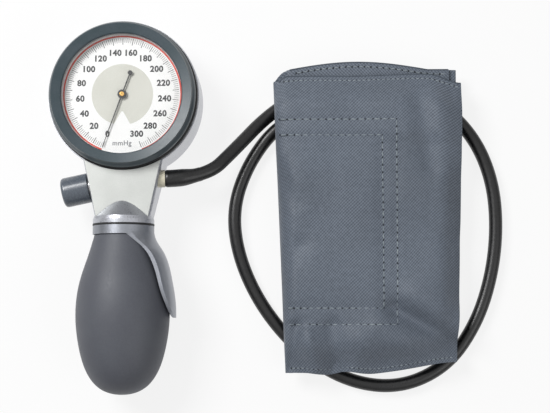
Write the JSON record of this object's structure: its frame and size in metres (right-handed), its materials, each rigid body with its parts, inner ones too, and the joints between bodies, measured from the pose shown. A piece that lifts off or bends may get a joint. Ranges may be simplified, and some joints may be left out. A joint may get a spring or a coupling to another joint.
{
  "type": "upper arm blood pressure monitor",
  "caption": "Palm-type aneroid blood pressure gauge with an inflation bulb, a side deflation button and a turning palm lever, on one hose to a folded upper arm cuff.",
  "frame": {"origin": "on the gauge's axis, in the plane of its back, which is the plane the whole set lies on", "axes": "+Z out of the dial, -Y down the neck to the bulb, +X towards the hose and the cuff"},
  "size_m": [0.2231, 0.1814, 0.0454],
  "materials": {
    "silver_paint": "satin silver lacquer",
    "satin_plate": "bead-blasted satin",
    "bright_steel": "bright",
    "black_rubber": "matte",
    "grey_plastic": "satin",
    "clear_glass": "clear",
    "light_plastic": "matte",
    "dial_white": "printed matte white",
    "brass": "machined",
    "dark_metal": "matte",
    "button_plastic": "semi-gloss",
    "aluminium": "machined",
    "grey_rubber": "soft matte",
    "lever_metal": "satin, polished edge",
    "ivory_plastic": "satin",
    "hose_rubber": "satin",
    "cuff_fabric": "coated twill",
    "bladder_rubber": "matte",
    "hook_tape": "hook tape",
    "loop_tape": "loop tape",
    "port_rubber": "matte"
  },
  "bodies": {
    "gauge_and_cuff": {"back_cover": "silver_paint", "back_cover_screws": "bright_steel", "bezel_gasket": "black_rubber", "bezel_ring": "grey_plastic", "bulb": "grey_rubber", "capsule_stem": "brass", "cuff_bladder": "bladder_rubber", "cuff_inner_wrap": "cuff_fabric", "cuff_outer_wrap": "cuff_fabric", "cuff_port": "port_rubber", "dial_carrier": "light_plastic", "dial_flange_ring": "light_plastic", "dial_glass": "clear_glass", "dial_plate": "dial_white", "diaphragm_capsule": "brass", "front_plate": "satin_plate", "glass_seal": "black_rubber", "hairspring": "bright_steel", "hook_patch": "hook_tape", "hose": "hose_rubber", "hose_nipple": "ivory_plastic", "hose_socket": "hose_rubber", "intake_valve_clip": "bright_steel", "loop_patch": "loop_tape", "movement_base_plate": "brass", "movement_pillars": "brass", "movement_screws": "bright_steel", "movement_top_plate": "brass", "neck_insert": "aluminium", "neck_seal": "black_rubber", "outlet_valve_cage": "light_plastic", "pressure_housing": "silver_paint", "pressure_tube": "brass", "valve_sleeve": "bright_steel", "valve_spring": "bright_steel", "valve_washer": "bright_steel"},
    "sector": {"sector_gear": "brass"},
    "pointer_train": {"pinion_arbor": "bright_steel", "pointer": "dark_metal", "pointer_cap": "brass"},
    "rocker": {"rocking_shaft": "bright_steel"},
    "capsule_follower": {"capsule_pin": "bright_steel"},
    "deflation_button": {"valve_button": "button_plastic", "valve_stem": "bright_steel", "valve_seal": "black_rubber"},
    "palm_lever": {"palm_lever": "lever_metal"},
    "outlet_flap": {"outlet_valve_disc": "black_rubber"},
    "intake_flap": {"intake_valve_disc": "black_rubber"}
  },
  "joints": [
    {"name": "sector_turn", "type": "hinge", "parent": "gauge_and_cuff", "child": "sector", "pos_m": [0, 0.0189, 0.0236], "axis": [0, 0, 1], "range_deg": [0, 40], "stiffness_Nm_per_rad": 0.002, "springref_deg": -5.73},
    {"name": "pointer_turn", "type": "hinge", "parent": "gauge_and_cuff", "child": "pointer_train", "pos_m": [0, 0, 0.0236], "axis": [0, 0, -1], "range_deg": [0, 320]},
    {"name": "rocker_turn", "type": "hinge", "parent": "gauge_and_cuff", "child": "rocker", "pos_m": [-0.00499, 0.01, 0.0176], "axis": [0, -1, 0], "range_deg": [0, 17.5]},
    {"name": "capsule_lift", "type": "slide", "parent": "gauge_and_cuff", "child": "capsule_follower", "axis": [0, 0, 1], "range_m": [0, 0.0015], "deforming": ["diaphragm_capsule"]},
    {"name": "button_press", "type": "slide", "parent": "gauge_and_cuff", "child": "deflation_button", "axis": [0.9779, 0.2093, 0], "range_m": [0, 0.003], "stiffness_N_per_m": 300, "springref_m": -0.002, "deforming": ["valve_spring"]},
    {"name": "lever_swivel", "type": "hinge", "parent": "gauge_and_cuff", "child": "palm_lever", "pos_m": [0, -0.0655, 0.0227], "axis": [0, -1, 0], "range_deg": [0, 180]},
    {"name": "outlet_flap_lift", "type": "slide", "parent": "gauge_and_cuff", "child": "outlet_flap", "axis": [0, 1, 0], "range_m": [0, 0.001]},
    {"name": "intake_flap_lift", "type": "slide", "parent": "gauge_and_cuff", "child": "intake_flap", "axis": [0, -1, 0], "range_m": [0, 0.001]}
  ],
  "couplings": [
    {"joint": "pointer_turn", "follows": "sector_turn", "ratio": 8},
    {"joint": "rocker_turn", "follows": "sector_turn", "ratio": 0.4375},
    {"joint": "capsule_lift", "follows": "sector_turn", "m_per_rad": 0.0021486}
  ]
}
